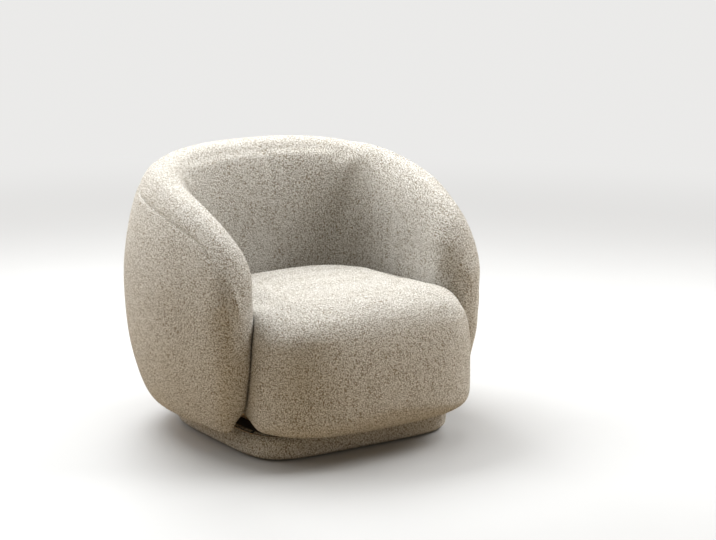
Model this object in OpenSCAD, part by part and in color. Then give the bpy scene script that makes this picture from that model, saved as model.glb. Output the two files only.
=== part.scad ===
// Tub chair: a wrapped shell of back and arms around a deep seat block, on a low inset plinth.
// Millimetres. The front faces -Y, the floor is at zero and the plan is centred on the origin.

/* [Overall] */
// Width across the shell
overall_width = 880; // [860:5:900]
// Depth from the front of the seat to the back of the shell
overall_depth = 845; // [835:5:860]
// Height of the crest at the middle of the back
overall_height = 700; // [685:5:730]
// Height of the seat crown above the floor
seat_height = 395; // [387:2:407]

/* [Shell] */
// Thickness of an arm at its widest
arm_thickness = 150; // [146:1:156]
// Thickness of the back at seat level
back_thickness = 212; // [204:1:218]
// Roundness of the shell seen from above
shell_power = 2.3; // [2.2:0.05:2.4]
// Fall of the crest from the back to the arm fronts
crest_fall = 147; // [135:1:160]
// Length of the rounded arm front
nose_length = 55; // [52:1:60]
// Distance from the seat front back to the root of the arm front
seat_lead = 218; // [214:1:222]
// Draw-in at the foot of the shell
foot_tuck = 43; // [38:1:46]
// Lean of the arm crest toward the seat
crest_lean = 33; // [28:1:35]

/* [Seat] */
// Extra width of the seat ahead of the arms, each side
seat_flare = 27; // [22:1:27]
// Roundness of the seat front seen from above
seat_power = 3.54; // [3.3:0.02:3.8]
// Height of the seam between the top panel and the band
seat_seam_height = 310; // [300:1:320]

/* [Plinth] */
// Width of the plinth
plinth_width = 582; // [570:2:590]
// Depth of the plinth
plinth_depth = 521; // [511:1:527]
// Height of the plinth
plinth_height = 62; // [60:1:66]
// Distance from the seat front back to the plinth front
plinth_setback = 117.5; // [114:0.5:124]

/* [Covers and padding] */
// Thickness of the cover fabric with its lining
cover_thickness = 2; // [1.8:0.1:2.2]
// Share of the half thickness of the shell that is foam
padding_share = 0.4; // [0.38:0.01:0.42]
// Thickness of the liner boards
liner_thickness = 3; // [2.5:0.1:3.2]

/* [Frame] */
// Thickness of the shell ribs
rib_thickness = 22; // [18:1:24]
// Thickness of the seat frame rails
rail_thickness = 26; // [22:1:28]
// Diameter of the frame bolts
bolt_diameter = 8; // [6:1:8]
// Diameter of the glides
glide_diameter = 30; // [26:1:32]

/* [Hidden] */
half_width = overall_width / 2;
back_y = overall_depth / 2;
front_y = -overall_depth / 2;
soft_gap = 0.5;
wood_gap = 0.1;
cap_count = 3;
front_count = 3;
body_count = 12;
half_count = cap_count + body_count;
last_station = 2 * half_count;
shell_centre_y = 4;
shell_half_depth = back_y - shell_centre_y;
inner_half = half_width - arm_thickness;
inner_back_y = back_y - back_thickness;
inner_bend_y = -29;
inner_power = 2.6;
root_y = front_y + seat_lead;
root_angle = -asin(pow((shell_centre_y - root_y) / shell_half_depth, shell_power / 2));
cap_power = 2.6;
cap_floor_share = 1.4;
crest_start_y = (back_y + inner_back_y) / 2;
crest_linear_share = 0.68;
tip_z = overall_height * 0.546;
outer_widest_z = overall_height * 0.551;
inner_widest_z = overall_height * 0.59;
outer_top_power = 2.47;
inner_top_power = 2.46;
outer_foot_power = 3.46;
inner_foot_power = 2.8;
back_lean_share = 0.7;
shell_clearance = 8;
shell_foot_z = plinth_height + shell_clearance;
seam_angle = 50;
seam_gap_angle = 0.2;
slit_angle = 14;
slit_closed_angle = 0.4;
inner_low_angle = 230;
panel_split = 9;
seam_share = 0.006;
foam_split = 8;
foot_foam_share = 0.25;
foam_gap_share = 0.012;
foam_inset = cover_thickness + soft_gap;
liner_gap = 0.5;
rib_ease = 4.8;
front_rib_ease = 7.2;
bottom_rail_recess = 4;
bottom_rail_thickness = 30;
bottom_rail_low_z = shell_foot_z + bottom_rail_recess;
bottom_rail_high_z = bottom_rail_low_z + bottom_rail_thickness;
bottom_rail_share = 0.86;
bottom_rail_start = 4.4;
rib_hole_margin = 26;
rib_foot_margin = 60;
rib_corner_rise = 12;
rib_leg_height = 25;
arm_rail_height = 60;
arm_rail_depth = 16;
arm_rail_ease = 0.6;
arm_rail_end_ease = 4;
arm_rail_rise = 120;
arm_rail_low_z = bottom_rail_high_z + arm_rail_rise;
front_rib_station = 3.35;
side_rib_station = 6;
rear_rib_station = 10;
seat_gap = 1.6;
seat_back_gap = 10;
neck_half = inner_half - seat_gap;
seat_back_y = inner_back_y - seat_back_gap;
seat_curve_lead = 268.5;
seat_curve_y = front_y + seat_curve_lead;
flare_lead = 22;
flare_start_y = root_y - flare_lead;
flare_run = 44;
seat_centre_y = (front_y + seat_back_y) / 2;
seat_half_depth = (seat_back_y - front_y) / 2;
seat_half_width = neck_half + seat_flare;
seat_belly_rise = 93;
seat_widest_z = plinth_height + seat_belly_rise;
seat_top_power = 4.8;
seat_foot_power = 5;
seat_straight_angle = 15;
seat_step = 7.5;
band_rise = 50;
band_low_z = plinth_height + band_rise;
front_low_angle = 60;
spacer_reach = 56;
frame_half_width = inner_half - spacer_reach;
frame_front_inset = 89.5;
frame_back_inset = 105.5;
frame_front_y = front_y + frame_front_inset;
frame_back_y = seat_back_y - frame_back_inset;
frame_length = frame_back_y - frame_front_y;
frame_run = frame_back_y - root_y;
platform_height = 15;
platform_inset = 9;
platform_front_ease = 3;
platform_back_reach = 5;
platform_half = frame_half_width - platform_inset;
platform_front_y = frame_front_y + platform_front_ease;
platform_back_y = frame_back_y + platform_back_reach;
platform_low_z = plinth_height;
platform_high_z = platform_low_z + platform_height;
frame_low_z = platform_high_z + wood_gap;
frame_rise = 50;
frame_high_z = plinth_height + frame_rise;
webbing_width = 48;
webbing_thickness = 2;
webbing_pitch_x = frame_half_width * 0.359;
webbing_pitch_y = frame_length * 0.2196;
webbing_start_y = frame_front_y + frame_length * 0.1145;
webbing_low_z = frame_high_z + wood_gap;
webbing_high_z = webbing_low_z + webbing_thickness + wood_gap;
felt_low_z = webbing_high_z + webbing_thickness + wood_gap;
felt_thickness = 4;
core_low_z = felt_low_z + felt_thickness + soft_gap;
core_drop = 60;
core_high_z = seat_seam_height - core_drop;
topper_low_z = core_high_z + soft_gap;
edge_foam_rise = 17;
edge_foam_lead = 27.5;
edge_foam_ease = 2.2;
core_ease = 2;
edge_foam_low_z = plinth_height + edge_foam_rise;
edge_foam_back_y = root_y - edge_foam_lead;
edge_foam_inset = foam_inset + edge_foam_ease;
core_inset = foam_inset + core_ease;
spacer_length_y = frame_run * 0.1335;
spacer_ys = [root_y + frame_run * 0.389, root_y + frame_run * 0.623];
spacer_eases = [0, 1.4];
spacer_rise = 6;
spacer_high_z = bottom_rail_high_z + spacer_rise;
bolt_rise = 26;
bolt_z = plinth_height + bolt_rise;
washer_diameter = 22;
washer_thickness = 1.6;
bolt_head_diameter = 14;
bolt_head_height = 5;
insert_diameter = 13;
insert_length = 18;
bolt_clearance = 0.4;
plinth_half = plinth_width / 2;
plinth_front_y = front_y + plinth_setback;
plinth_centre_y = plinth_front_y + plinth_depth / 2;
plinth_half_depth = plinth_depth / 2;
plinth_power = 5.15;
plinth_low_z = 4;
plinth_pad_thickness = 4;
plinth_frame_inset = cover_thickness + plinth_pad_thickness + 2 * soft_gap;
plinth_rail_thickness = 22;
corner_thickness = 46;
corner_angle = 24;
joint_angle = 0.05;
plinth_frame_low_z = 8;
board_thickness = 15;
board_low_z = plinth_height - board_thickness;
dust_low_z = 7.1;
dust_thickness = 0.8;
glide_height = 7;
glide_boss_diameter = 18;
glide_recess = 3;
screw_diameter = 4.2;
screw_head_diameter = 8.5;
screw_length = 24;
screw_clearance = 0.2;
platform_screw_diameter = 5;
platform_screw_length = 22;
platform_screw_x = frame_half_width * 0.641;
platform_screw_xs = [-platform_screw_x, 0, platform_screw_x];
screw_front_y = max(platform_front_y, plinth_front_y);
screw_run = min(platform_back_y, plinth_front_y + plinth_depth) - screw_front_y;
platform_screw_ys = [screw_front_y + screw_run * 0.21, screw_front_y + screw_run * 0.852];
deep = 4 * overall_height;
fabric_colour = [0.83, 0.79, 0.72];
lining_colour = [0.2, 0.2, 0.2];
foam_colour = [0.93, 0.9, 0.72];
wood_colour = [0.76, 0.6, 0.4];
board_colour = [0.6, 0.46, 0.3];
steel_colour = [0.6, 0.61, 0.63];
webbing_colour = [0.3, 0.28, 0.25];
felt_colour = [0.55, 0.55, 0.53];
glide_colour = [0.15, 0.15, 0.15];

function spow(v, e) = sign(v) * pow(abs(v), e);
function unit(v) = max(0, min(1, v));
function ease(v) = unit(v) * unit(v) * (3 - 2 * unit(v));

// One side of the shell is worked out and mirrored: fold(s) runs from the arm tip to mid back.
function fold(s) = s <= half_count ? s : last_station - s;
function side(s) = s <= half_count ? 1 : -1;
function cap_angle(s) = fold(s) < cap_count ? 90 * (cap_count - fold(s)) / (cap_count + 0.6) : 0;
function plan_angle(s) = let (k = max(0, fold(s) - cap_count))
    k < front_count ? root_angle * (1 - k / front_count) : 90 * (k - front_count) / (body_count - front_count);
function outer_plan(t) = [half_width * spow(cos(t), 2 / shell_power),
    shell_centre_y + shell_half_depth * spow(sin(t), 2 / shell_power)];
function inner_plan(t) = t > 0
    ? [inner_half * spow(cos(t), 2 / inner_power),
       inner_bend_y + (inner_back_y - inner_bend_y) * spow(sin(t), 2 / inner_power)]
    : [inner_half, inner_bend_y + (root_y - inner_bend_y) * t / root_angle];
function mid_plan(t) = (outer_plan(t) + inner_plan(t)) / 2;
function half_thick(t) = norm(outer_plan(t) - inner_plan(t)) / 2;
function across(t) = (outer_plan(t) - inner_plan(t)) / (2 * half_thick(t));
function reach(t) = unit((crest_start_y - mid_plan(t).y) / (crest_start_y - root_y));
function crest_z(t) = overall_height - crest_fall
    * (crest_linear_share * reach(t) + (1 - crest_linear_share) * pow(reach(t), 5));
function pad(t) = padding_share * half_thick(t);

// Section of the shell: offset across the wall and height, for a loop angle and an inset.
function loop_z(t, a, a_cap, inset) =
    let (env = pow(cos(a_cap), 2 / cap_power),
         top = tip_z + (crest_z(t) - inset - tip_z) * (1 - pow(sin(a_cap), 1.5)),
         low = tip_z - (tip_z - shell_foot_z - inset) * pow(env, cap_floor_share),
         wide = tip_z + ((cos(a) > 0 ? outer_widest_z : inner_widest_z) - tip_z) * env,
         power = sin(a) > 0 ? (cos(a) > 0 ? outer_top_power : inner_top_power)
                            : (cos(a) > 0 ? outer_foot_power : inner_foot_power))
    wide + (sin(a) > 0 ? top - wide : wide - low) * spow(sin(a), 2 / power);
function loop_r(t, a, a_cap, inset) =
    let (env = pow(cos(a_cap), 2 / cap_power),
         power = sin(a) > 0 ? (cos(a) > 0 ? outer_top_power : inner_top_power)
                            : (cos(a) > 0 ? outer_foot_power : inner_foot_power),
         z = loop_z(t, a, a_cap, inset),
         low = unit((outer_widest_z - z) / (outer_widest_z - shell_foot_z)),
         high = unit((z - outer_widest_z) / (overall_height - outer_widest_z)),
         lean = crest_lean * (back_lean_share + (1 - back_lean_share) * reach(t)))
    (half_thick(t) - inset) * env * spow(cos(a), 2 / power)
    - env * (foot_tuck * low * low * (1 + cos(a)) / 2 + lean * pow(high, 1.2));
function shell_point(s, a, inset) =
    let (t = plan_angle(s), a_cap = cap_angle(s), n = across(t), ahead = [n.y, -n.x],
         step = (nose_length - inset) * sin(a_cap), r = loop_r(t, a, a_cap, inset),
         p = mid_plan(t) + ahead * step + n * r)
    [side(s) * p.x, p.y, loop_z(t, a, a_cap, inset)];
function tip_point(s, inset) =
    let (n = across(root_angle), ahead = [n.y, -n.x], p = mid_plan(root_angle) + ahead * (nose_length - inset))
    [side(s) * p.x, p.y, tip_z];

// A padded panel: an outer and an inner grid over the same stations and loop angles, closed at its edges.
module panel(stations, angles, low_inset, high_inset, tip_first = false, tip_last = false) {
    rows = len(stations) - 1;
    cols = len(angles[0]) - 1;
    wide = cols + 1;
    count = (rows + 1) * wide;
    outer_points = [for (i = [0:rows]) for (j = [0:cols])
        shell_point(stations[i], angles[i][j], low_inset(stations[i], angles[i][j]))];
    inner_points = [for (i = [0:rows]) for (j = [0:cols])
        shell_point(stations[i], angles[i][j], high_inset(stations[i], angles[i][j]))];
    tips = [for (s = [stations[0], stations[rows]])
        each [tip_point(s, low_inset(s, 0)), tip_point(s, high_inset(s, 0))]];
    used = concat(tip_first ? [tips[0], tips[1]] : [], tip_last ? [tips[2], tips[3]] : []);
    first = 2 * count;
    last = first + (tip_first ? 2 : 0);
    grid_faces = [for (i = [0:rows - 1]) for (j = [0:cols - 1])
        let (a = i * wide + j, b = a + 1, c = a + wide + 1, d = a + wide)
        each [[a, b, c], [a, c, d], [count + a, count + c, count + b], [count + a, count + d, count + c]]];
    edge_faces = [for (i = [0:rows - 1])
        let (a = i * wide, d = a + wide, b = a + cols, c = d + cols)
        each [[a, d, count + d], [a, count + d, count + a], [c, b, count + b], [c, count + b, count + c]]];
    start_faces = tip_first
        ? concat([for (j = [0:cols - 1]) each [[first, j + 1, j], [first + 1, count + j, count + j + 1]]],
            [[first, 0, count], [first, count, first + 1], [cols, first, first + 1], [cols, first + 1, count + cols]])
        : [for (j = [0:cols - 1]) each [[j + 1, j, count + j], [j + 1, count + j, count + j + 1]]];
    e = rows * wide;
    end_faces = tip_last
        ? concat([for (j = [0:cols - 1])
                each [[e + j, e + j + 1, last], [count + e + j, last + 1, count + e + j + 1]]],
            [[e, last, last + 1], [e, last + 1, count + e], [last, e + cols, count + e + cols],
             [last, count + e + cols, last + 1]])
        : [for (j = [0:cols - 1])
            each [[e + j, e + j + 1, count + e + j + 1], [e + j, count + e + j + 1, count + e + j]]];
    polyhedron(points = concat(outer_points, inner_points, used),
        faces = concat(grid_faces, edge_faces, start_faces, end_faces), convexity = 8);
}

function flat(level) = function (s, a) level;
function padded(extra) = function (s, a) pad(plan_angle(s)) + extra;
function foam_depth(s, a) = foam_inset + (pad(plan_angle(s)) - foam_inset)
    * (a < -40 ? foot_foam_share + (1 - foot_foam_share) * (a + 70) / 30 : 1);
function span(a, b, step) = [for (v = [a:step:b]) v];

function settle(s) = fold(s) <= cap_count ? 1 : 0.04;
function slit(s) = fold(s) <= cap_count ? slit_closed_angle : slit_angle;
function outer_row(s) = concat([slit(s) - 90], span(-70, 40, 10), [seam_angle - seam_gap_angle]);
inner_cover_angles = concat([seam_angle + seam_gap_angle], span(60, 250, 10), [270 - slit_closed_angle]);
function inner_row(s) = [for (a = inner_cover_angles)
    a <= inner_low_angle ? a : inner_low_angle + (a - inner_low_angle) * settle(s)];
foam_angles = concat([-70, -55], span(-40, 220, 20));
foam_top_inset = function (s, a) foam_depth(s, a);
right_inner_stations = concat(span(0, panel_split - 1, 1), [panel_split - seam_share]);
middle_inner_stations = concat([panel_split + seam_share], span(panel_split + 1, last_station - panel_split - 1, 1),
    [last_station - panel_split - seam_share]);
left_inner_stations = concat([last_station - panel_split + seam_share],
    span(last_station - panel_split + 1, last_station, 1));
right_foam_stations = concat(span(0, foam_split - 1, 1), [foam_split - foam_gap_share]);
back_foam_stations = concat([foam_split + foam_gap_share], span(foam_split + 1, last_station - foam_split - 1, 1),
    [last_station - foam_split - foam_gap_share]);
left_foam_stations = concat([last_station - foam_split + foam_gap_share],
    span(last_station - foam_split + 1, last_station, 1));
liner_stations = span(cap_count, last_station - cap_count, 1);

module shell_cover_outer() {
    color(fabric_colour)
        panel(span(0, last_station, 1), [for (s = [0:last_station]) outer_row(s)],
            flat(0), flat(cover_thickness), true, true);
}
module shell_cover_right() {
    color(fabric_colour)
        panel(right_inner_stations, [for (s = right_inner_stations) inner_row(s)],
            flat(0), flat(cover_thickness), true, false);
}
module shell_cover_middle() {
    color(fabric_colour)
        panel(middle_inner_stations, [for (s = middle_inner_stations) inner_row(s)],
            flat(0), flat(cover_thickness));
}
module shell_cover_left() {
    color(fabric_colour)
        panel(left_inner_stations, [for (s = left_inner_stations) inner_row(s)],
            flat(0), flat(cover_thickness), false, true);
}
module shell_foam_right() {
    color(foam_colour)
        panel(right_foam_stations, [for (s = right_foam_stations) foam_angles],
            flat(foam_inset), foam_top_inset, true, false);
}
module shell_foam_back() {
    color(foam_colour)
        panel(back_foam_stations, [for (s = back_foam_stations) foam_angles],
            flat(foam_inset), foam_top_inset);
}
module shell_foam_left() {
    color(foam_colour)
        panel(left_foam_stations, [for (s = left_foam_stations) foam_angles],
            flat(foam_inset), foam_top_inset, false, true);
}
module inner_liner() {
    color(board_colour)
        panel(liner_stations, [for (s = liner_stations) span(100, 220, 20)],
            padded(liner_gap), padded(liner_gap + liner_thickness));
}
module outer_liner() {
    color(board_colour)
        panel(liner_stations, [for (s = liner_stations) span(-40, 80, 20)],
            padded(liner_gap), padded(liner_gap + liner_thickness));
}

// Ribs stand on the bottom rail, each a flat board cut to the section of the shell.
function rib_inset(t) = pad(t) + liner_thickness + 2 * liner_gap
    + (t < root_angle * 0.8 ? front_rib_ease : rib_ease);
rib_foot_z = bottom_rail_high_z + wood_gap;
function low_angle(wide, inset, power) =
    asin(pow(unit((wide - rib_foot_z - rib_leg_height) / (wide - shell_foot_z - inset)), power / 2));
function rib_outline(t, inset) =
    let (a = -low_angle(outer_widest_z, inset, outer_foot_power),
         b = 180 + low_angle(inner_widest_z, inset, inner_foot_power))
    concat([[loop_r(t, a, 0, inset), rib_foot_z]],
        [for (v = concat([a], span(-40, 220, 20), [b])) [loop_r(t, v, 0, inset), loop_z(t, v, 0, inset)]],
        [[loop_r(t, b, 0, inset), rib_foot_z]]);
function rib_window(t, inset) =
    let (low = rib_foot_z + rib_foot_margin,
         rim = [for (k = [1:23]) let (v = k * 15 - 90, z = loop_z(t, v, 0, inset))
            if (z > low + rib_corner_rise) [loop_r(t, v, 0, inset), z]])
    concat([[rim[0].x, low]], rim, [[rim[len(rim) - 1].x, low]]);
module rib(s, window_share = 1) {
    t = plan_angle(s);
    p = mid_plan(t);
    n = across(t);
    mirror([side(s) < 0 ? 1 : 0, 0, 0])
        translate([p.x, p.y, 0])
            rotate([90, 0, atan2(n.y, n.x)])
                difference() {
                    linear_extrude(height = rib_thickness, center = true)
                        polygon(rib_outline(t, rib_inset(t)));
                    if (half_thick(t) - rib_inset(t) > 1.4 * rib_hole_margin)
                        linear_extrude(height = 2 * rib_thickness, center = true)
                            polygon(rib_window(t, rib_inset(t) + rib_hole_margin));
                }
}
module rib_back() { color(wood_colour) rib(half_count); }
module rib_rear_right() { color(wood_colour) rib(rear_rib_station); }
module rib_rear_left() { color(wood_colour) rib(last_station - rear_rib_station); }
module rib_side_right() { color(wood_colour) rib(side_rib_station); }
module rib_side_left() { color(wood_colour) rib(last_station - side_rib_station); }
module rib_front_right() { color(wood_colour) rib(front_rib_station); }
module rib_front_left() { color(wood_colour) rib(last_station - front_rib_station); }

// Bottom rail: one horseshoe board under the ribs, flush with the inside face of the shell.
function rail_inner(s) = let (t = plan_angle(s), p = mid_plan(t) - across(t) * (half_thick(t) - soft_gap))
    [side(s) * p.x, p.y];
function rail_outer(s) = let (t = plan_angle(s),
        p = mid_plan(t) - across(t) * (half_thick(t) - soft_gap - bottom_rail_share * half_thick(t)))
    [side(s) * p.x, p.y];
rail_stations = concat([bottom_rail_start], span(5, last_station - 5, 1), [last_station - bottom_rail_start]);
module bolt_holes(diameter) {
    for (m = [0, 1]) mirror([m, 0, 0])
        for (y = spacer_ys) translate([frame_half_width - 2 * rail_thickness, y, bolt_z])
            rotate([0, 90, 0]) cylinder(h = inner_half, d = diameter, $fn = 32);
}
module insert_holes() {
    for (m = [0, 1]) mirror([m, 0, 0])
        for (y = spacer_ys) translate([neck_half - soft_gap, y, bolt_z])
            rotate([0, 90, 0]) cylinder(h = insert_length + 2 * seat_gap + 2 * soft_gap, d = insert_diameter, $fn = 32);
}
module bottom_rail() {
    color(wood_colour) difference() {
        translate([0, 0, bottom_rail_low_z])
            linear_extrude(height = bottom_rail_high_z - bottom_rail_low_z)
                polygon(concat([for (s = rail_stations) rail_outer(s)],
                    [for (k = [len(rail_stations) - 1:-1:0]) rail_inner(rail_stations[k])]));
        insert_holes();
    }
}
module arm_rail(m) {
    a = mid_plan(plan_angle(front_rib_station));
    b = mid_plan(plan_angle(side_rib_station));
    d = b - a;
    clear = rib_thickness / 2 + soft_gap;
    color(wood_colour) mirror([m, 0, 0])
        translate([a.x, a.y, arm_rail_low_z])
            rotate([0, 0, atan2(d.y, d.x)])
                translate([clear + arm_rail_ease, -arm_rail_depth / 2, 0])
                    cube([norm(d) - 2 * clear - arm_rail_ease - arm_rail_end_ease, arm_rail_depth, arm_rail_height]);
}
module arm_rail_right() { arm_rail(0); }
module arm_rail_left() { arm_rail(1); }

// Seat block: a rounded plan that fills the shell and swells a little ahead of the arms.
function seat_half_at(y) = neck_half + seat_flare * ease((flare_start_y - y) / flare_run);
function front_curve(e) = let (y = seat_curve_y + (front_y - seat_curve_y) * spow(sin(e), 2 / seat_power))
    [seat_half_at(y) * spow(cos(e), 2 / seat_power), y];
function seat_quarter(q) = q <= seat_straight_angle
    ? [neck_half, inner_bend_y + (seat_curve_y - inner_bend_y) * q / seat_straight_angle]
    : front_curve(90 * pow((q - seat_straight_angle) / (90 - seat_straight_angle), 1.5));
function seat_plan(u) = u <= 180
    ? [neck_half * spow(cos(u), 2 / inner_power),
       inner_bend_y + (seat_back_y - inner_bend_y) * spow(abs(sin(u)), 2 / inner_power)]
    : (u <= 270 ? let (p = seat_quarter(u - 180)) [-p.x, p.y] : seat_quarter(360 - u));
function seat_z(v, inset) = v > 0
    ? seat_widest_z + (seat_height - inset - seat_widest_z) * spow(sin(v), 2 / seat_top_power)
    : seat_widest_z + (seat_widest_z - plinth_height - soft_gap - inset) * spow(sin(v), 2 / seat_foot_power);
function seat_point(u, v, inset) =
    let (p = seat_plan(u), c = spow(cos(v), 2 / (v > 0 ? seat_top_power : seat_foot_power)))
    [p.x * (seat_half_width - inset) / seat_half_width * c,
     seat_centre_y + (p.y - seat_centre_y) * (seat_half_depth - inset) / seat_half_depth * c, seat_z(v, inset)];
function seat_angle(z, inset) = z > seat_widest_z
    ? asin(pow((z - seat_widest_z) / (seat_height - inset - seat_widest_z), seat_top_power / 2))
    : -asin(pow((seat_widest_z - z) / (seat_widest_z - plinth_height - soft_gap - inset), seat_foot_power / 2));
seat_angles = span(0, 360 - seat_step, seat_step);

// A closed ring of fabric around the seat, or a crowned sheet when it ends in a pole at the top.
module seat_skin(rows_at, inset_low, inset_high, crowned) {
    n = len(seat_angles);
    cols = len(rows_at(0)) - 1;
    wide = cols + 1;
    count = n * wide;
    outer_points = [for (u = seat_angles) for (v = rows_at(u)) seat_point(u, v, inset_low)];
    inner_points = [for (u = seat_angles) for (v = rows_at(u)) seat_point(u, v, inset_high)];
    poles = crowned ? [for (d = [inset_low, inset_high]) [0, seat_centre_y, seat_height - d]] : [];
    grid_faces = [for (i = [0:n - 1]) for (j = [0:cols - 1])
        let (k = (i + 1) % n, a = i * wide + j, b = a + 1, c = k * wide + j + 1, d = k * wide + j)
        each [[a, b, c], [a, c, d], [count + a, count + c, count + b], [count + a, count + d, count + c]]];
    low_faces = [for (i = [0:n - 1]) let (k = (i + 1) % n, a = i * wide, d = k * wide)
        each [[a, d, count + d], [a, count + d, count + a]]];
    top_faces = crowned
        ? [for (i = [0:n - 1]) let (k = (i + 1) % n, b = i * wide + cols, c = k * wide + cols)
            each [[b, 2 * count, c], [count + b, count + c, 2 * count + 1]]]
        : [for (i = [0:n - 1]) let (k = (i + 1) % n, b = i * wide + cols, c = k * wide + cols)
            each [[c, b, count + b], [c, count + b, count + c]]];
    polyhedron(points = concat(outer_points, inner_points, poles),
        faces = concat(grid_faces, low_faces, top_faces), convexity = 8);
}
// A solid block of foam between two level cuts, its top a crown when it ends in a pole.
module seat_solid(rows, inset, crowned) {
    n = len(seat_angles);
    cols = len(rows) - 1;
    wide = cols + 1;
    count = n * wide;
    points = [for (u = seat_angles) for (v = rows) seat_point(u, v, inset)];
    low_z = seat_z(rows[0], inset);
    high_z = crowned ? seat_height - inset : seat_z(rows[cols], inset);
    faces = [for (i = [0:n - 1]) let (k = (i + 1) % n)
        each concat([for (j = [0:cols - 1])
            let (a = i * wide + j, b = a + 1, c = k * wide + j + 1, d = k * wide + j)
            each [[a, b, c], [a, c, d]]],
            [[k * wide, count, i * wide], [i * wide + cols, count + 1, k * wide + cols]])];
    polyhedron(points = concat(points, [[0, seat_centre_y, low_z], [0, seat_centre_y, high_z]]),
        faces = faces, convexity = 6);
}
seam_v = seat_angle(seat_seam_height, 0);
hidden_low_v = seat_angle(band_low_z, 0);
function band_low(u) = let (y = seat_plan(u).y)
    hidden_low_v + (-front_low_angle - hidden_low_v) * ease((flare_start_y - y) / (flare_run / 2));
band_shares = [1, 0.75, 0.53, 0.33, 0.17, 0.06, 0];
top_rows = [for (k = [1:6]) seam_v + (90 - seam_v) * k / 7];
core_v = seat_angle(core_high_z, 0);
module seat_cover_band() {
    color(fabric_colour)
        seat_skin(function (u) concat([for (k = band_shares) band_low(u) * k], [core_v, seam_v - seam_gap_angle]),
            0, cover_thickness, false);
}
module seat_cover_top() {
    color(fabric_colour)
        seat_skin(function (u) concat([seam_v + seam_gap_angle], top_rows), 0, cover_thickness, true);
}
module seat_foam_topper() {
    color(foam_colour)
        seat_solid(concat([seat_angle(topper_low_z, foam_inset), seam_v], top_rows), foam_inset, true);
}
module seat_foam_core() {
    color(foam_colour)
        seat_solid([seat_angle(core_low_z, core_inset), 0, seat_angle(core_high_z, core_inset)],
            core_inset, false);
}
module seat_edge_foam() {
    v_low = seat_angle(edge_foam_low_z, edge_foam_inset);
    v_high = seat_angle(core_low_z - soft_gap, edge_foam_inset);
    color(foam_colour) difference() {
        seat_solid([for (k = [0:3]) v_low + (v_high - v_low) * k / 3], edge_foam_inset, false);
        translate([-frame_half_width - soft_gap, frame_front_y - soft_gap, 0])
            cube([2 * frame_half_width + 2 * soft_gap, overall_depth, overall_height]);
        translate([-half_width, edge_foam_back_y, 0])
            cube([overall_width, overall_depth, overall_height]);
    }
}

// Seat frame: four rails on a platform, tied to the shell by bolts through spacer blocks.
module side_frame_rail(m) {
    color(wood_colour) difference() {
        mirror([m, 0, 0])
            translate([frame_half_width - rail_thickness, frame_front_y, frame_low_z])
                cube([rail_thickness, frame_back_y - frame_front_y, frame_high_z - frame_low_z]);
        bolt_holes(bolt_diameter + bolt_clearance);
    }
}
module frame_rail_right() { side_frame_rail(0); }
module frame_rail_left() { side_frame_rail(1); }
module end_frame_rail(y) {
    reach_x = frame_half_width - rail_thickness - wood_gap;
    color(wood_colour)
        translate([-reach_x, y, frame_low_z])
            cube([2 * reach_x, rail_thickness, frame_high_z - frame_low_z]);
}
module frame_rail_front() { end_frame_rail(frame_front_y); }
module frame_rail_back() { end_frame_rail(frame_back_y - rail_thickness); }
module spacer_block(m, k) {
    low_x = frame_half_width + wood_gap;
    color(wood_colour) difference() {
        mirror([m, 0, 0])
            translate([low_x, spacer_ys[k] - spacer_length_y / 2, frame_low_z])
                cube([inner_half - spacer_eases[k] - low_x, spacer_length_y, spacer_high_z - frame_low_z]);
        bolt_holes(bolt_diameter + bolt_clearance);
    }
}
module spacer_front_right() { spacer_block(0, 0); }
module spacer_rear_right() { spacer_block(0, 1); }
module spacer_front_left() { spacer_block(1, 0); }
module spacer_rear_left() { spacer_block(1, 1); }
module frame_bolts() {
    low_x = frame_half_width - rail_thickness - washer_thickness - 2 * wood_gap;
    color(steel_colour)
        for (m = [0, 1]) mirror([m, 0, 0])
            for (y = spacer_ys) translate([low_x, y, bolt_z]) rotate([0, 90, 0]) union() {
                translate([0, 0, -bolt_head_height])
                    linear_extrude(height = bolt_head_height) circle(d = bolt_head_diameter, $fn = 6);
                cylinder(h = inner_half + insert_length / 2 - low_x, d = bolt_diameter, $fn = 32);
            }
}
module bolt_washers() {
    low_x = frame_half_width - rail_thickness - washer_thickness - wood_gap;
    color(steel_colour)
        for (m = [0, 1]) mirror([m, 0, 0])
            for (y = spacer_ys) translate([low_x, y, bolt_z]) rotate([0, 90, 0]) difference() {
                cylinder(h = washer_thickness, d = washer_diameter, $fn = 32);
                translate([0, 0, -washer_thickness])
                    cylinder(h = 3 * washer_thickness, d = bolt_diameter + bolt_clearance, $fn = 32);
            }
}
module threaded_inserts() {
    color(steel_colour)
        for (m = [0, 1]) mirror([m, 0, 0])
            for (y = spacer_ys) translate([inner_half + seat_gap / 2, y, bolt_z]) rotate([0, 90, 0]) difference() {
                cylinder(h = insert_length, d = insert_diameter - screw_clearance, $fn = 32);
                translate([0, 0, -insert_length])
                    cylinder(h = 3 * insert_length, d = bolt_diameter + bolt_clearance, $fn = 32);
            }
}
function platform_plan(u) = [platform_half * spow(cos(u), 2 / seat_power),
    (platform_front_y + platform_back_y) / 2
        + (platform_back_y - platform_front_y) / 2 * spow(sin(u), 2 / seat_power)];
module screw_row(low_z, height, diameter) {
    for (x = platform_screw_xs) for (y = platform_screw_ys) translate([x, y, low_z])
        cylinder(h = height, d = diameter, $fn = 24);
}
module seat_platform() {
    color(board_colour) difference() {
        translate([0, 0, platform_low_z + wood_gap])
            linear_extrude(height = platform_height - wood_gap)
                polygon([for (u = [0:6:354]) platform_plan(u)]);
        screw_row(platform_low_z - platform_height, 3 * platform_height, platform_screw_diameter + screw_clearance);
    }
}
module platform_screws() {
    head_height = glide_recess;
    color(steel_colour) union() {
        screw_row(board_low_z - head_height - wood_gap, head_height, 2 * platform_screw_diameter);
        screw_row(board_low_z - head_height / 2, platform_screw_length + head_height / 2, platform_screw_diameter);
    }
}
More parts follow.
